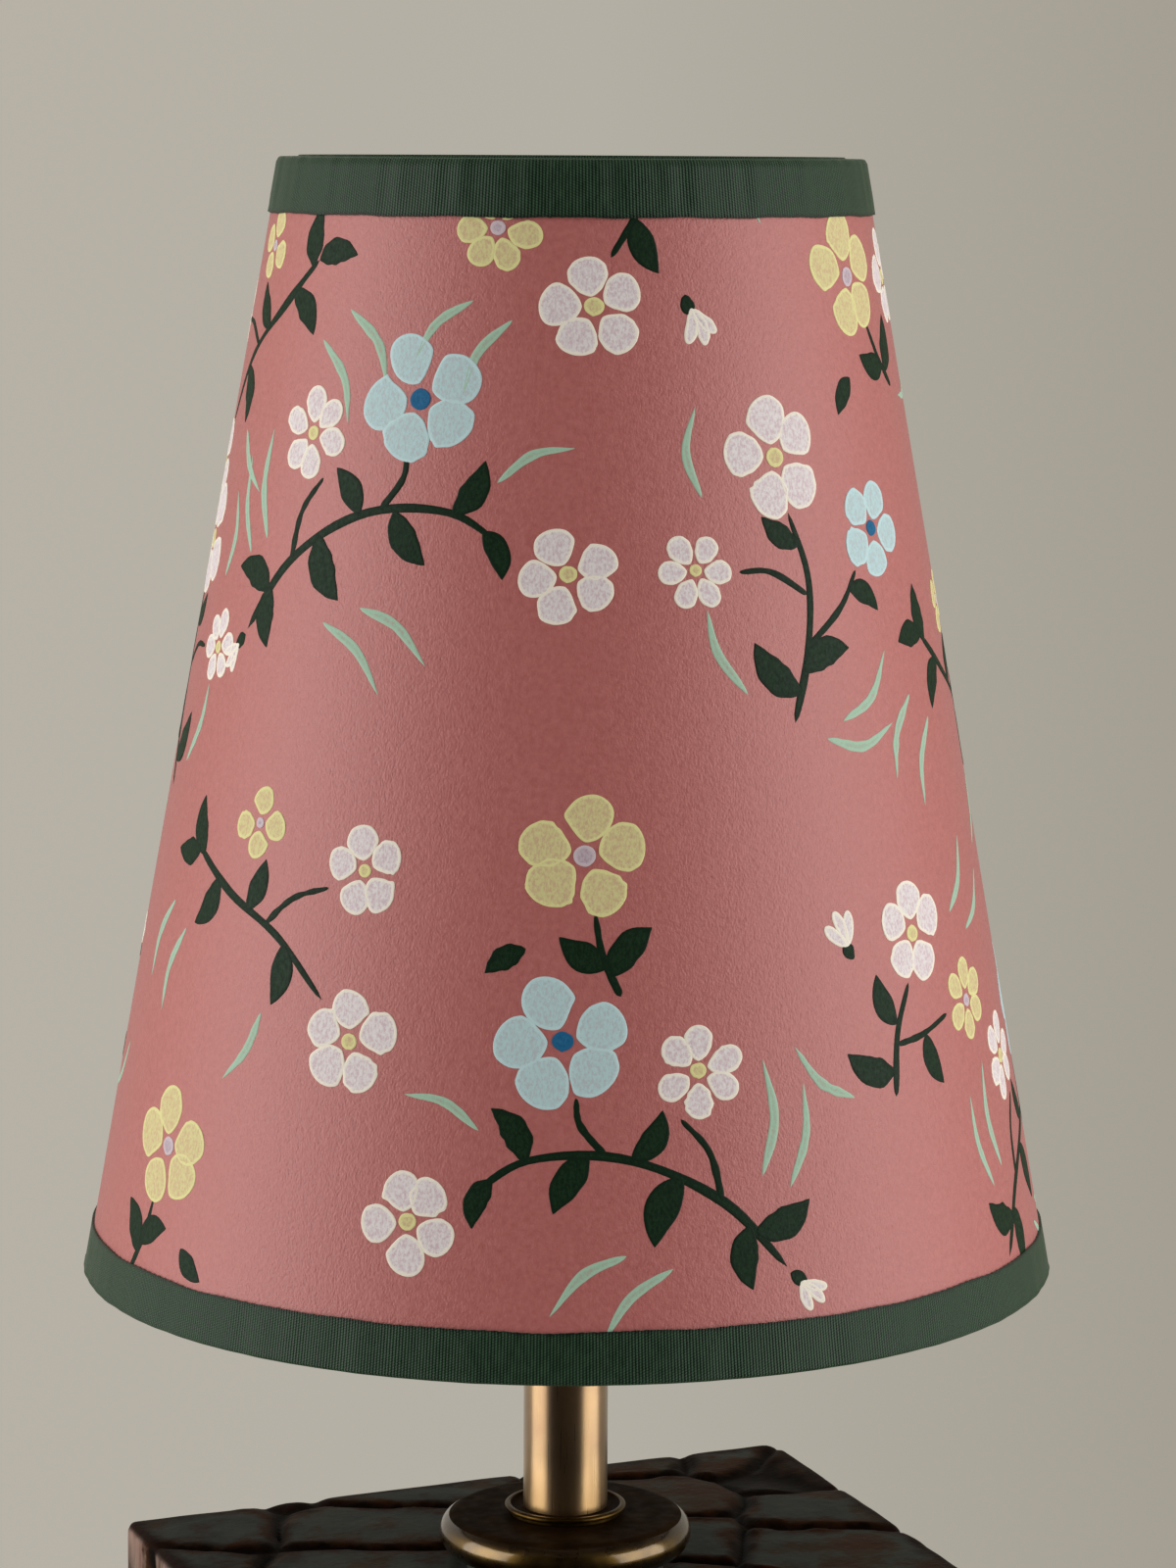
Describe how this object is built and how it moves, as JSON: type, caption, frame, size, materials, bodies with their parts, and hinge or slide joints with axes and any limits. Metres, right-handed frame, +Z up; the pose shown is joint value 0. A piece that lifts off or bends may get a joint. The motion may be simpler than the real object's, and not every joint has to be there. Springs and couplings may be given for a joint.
{
  "type": "table lamp",
  "caption": "Table lamp with a rectangular glazed stoneware body, a brass stem on a round flange, a push-bar lampholder and a tall tapered card shade edged with ribbon.",
  "frame": {"origin": "on the table, under the middle of the stem and shade", "axes": "+Z up, X along the body's long side, +Y towards the back, where the cable leaves"},
  "size_m": [0.2, 0.2, 0.525],
  "materials": {
    "felt": "matt wool felt",
    "stoneware": "satin dark glaze with grey-blue cells and red-brown grooves",
    "black_rubber": "matt",
    "cork": "plain cork",
    "dark_brass": "dark antiqued, satin",
    "brass": "antiqued, satin",
    "plated_steel": "zinc plated",
    "holder_brass": "satin",
    "porcelain": "white glaze",
    "contact_brass": "bare",
    "clear_glass": "clear, polished",
    "nickel": "nickel plated",
    "black_glass": "black, glossy",
    "filament": "yellow phosphor coating",
    "pink_card": "matt laminated paper with a fibrous face and painted flowers",
    "green_ribbon": "ribbed woven ribbon",
    "white_wire": "white coated"
  },
  "bodies": {
    "base": {"felt_pads": "felt", "stoneware_body": "stoneware", "cable_grommet": "black_rubber", "cork_washer": "cork", "brass_flange": "dark_brass", "stem_collar": "dark_brass", "stem_tube": "brass", "threaded_rod": "plated_steel", "inner_washer": "plated_steel", "inner_nut": "plated_steel", "holder_cap": "holder_brass", "holder_core": "porcelain", "holder_skirt": "holder_brass", "screw_liner": "contact_brass", "centre_contact": "contact_brass", "side_contact": "contact_brass", "terminal_screws": "contact_brass", "lower_shade_ring": "holder_brass", "upper_shade_ring": "holder_brass"},
    "switch": {"switch_bar": "holder_brass", "switch_knobs": "holder_brass"},
    "carrier": {"carrier_seat": "holder_brass", "carrier_wires": "holder_brass", "carrier_ring": "holder_brass"},
    "bulb": {"bulb_glass": "clear_glass", "bulb_cap": "nickel", "bulb_insulator": "black_glass", "bulb_contact": "nickel", "bulb_mount": "clear_glass", "bulb_filaments": "filament"},
    "shade": {"shade_card": "pink_card", "top_trim": "green_ribbon", "bottom_trim": "green_ribbon", "top_ring": "white_wire", "bottom_ring": "white_wire", "fitter_ring": "white_wire", "fitter_arms": "white_wire"}
  },
  "joints": [
    {"name": "switch_push", "type": "slide", "parent": "base", "child": "switch", "axis": [1, 0, 0], "range_m": [0, 0.006]},
    {"name": "bulb_lift", "type": "slide", "parent": "base", "child": "bulb", "axis": [0, 0, 1], "range_m": [0, 0.18]},
    {"name": "shade_turn", "type": "hinge", "parent": "base", "child": "carrier", "pos_m": [0, 0, 0.4], "axis": [0, 0, 1], "continuous": true},
    {"name": "shade_lift", "type": "slide", "parent": "carrier", "child": "shade", "axis": [0, 0, 1], "range_m": [0, 0.25]}
  ]
}
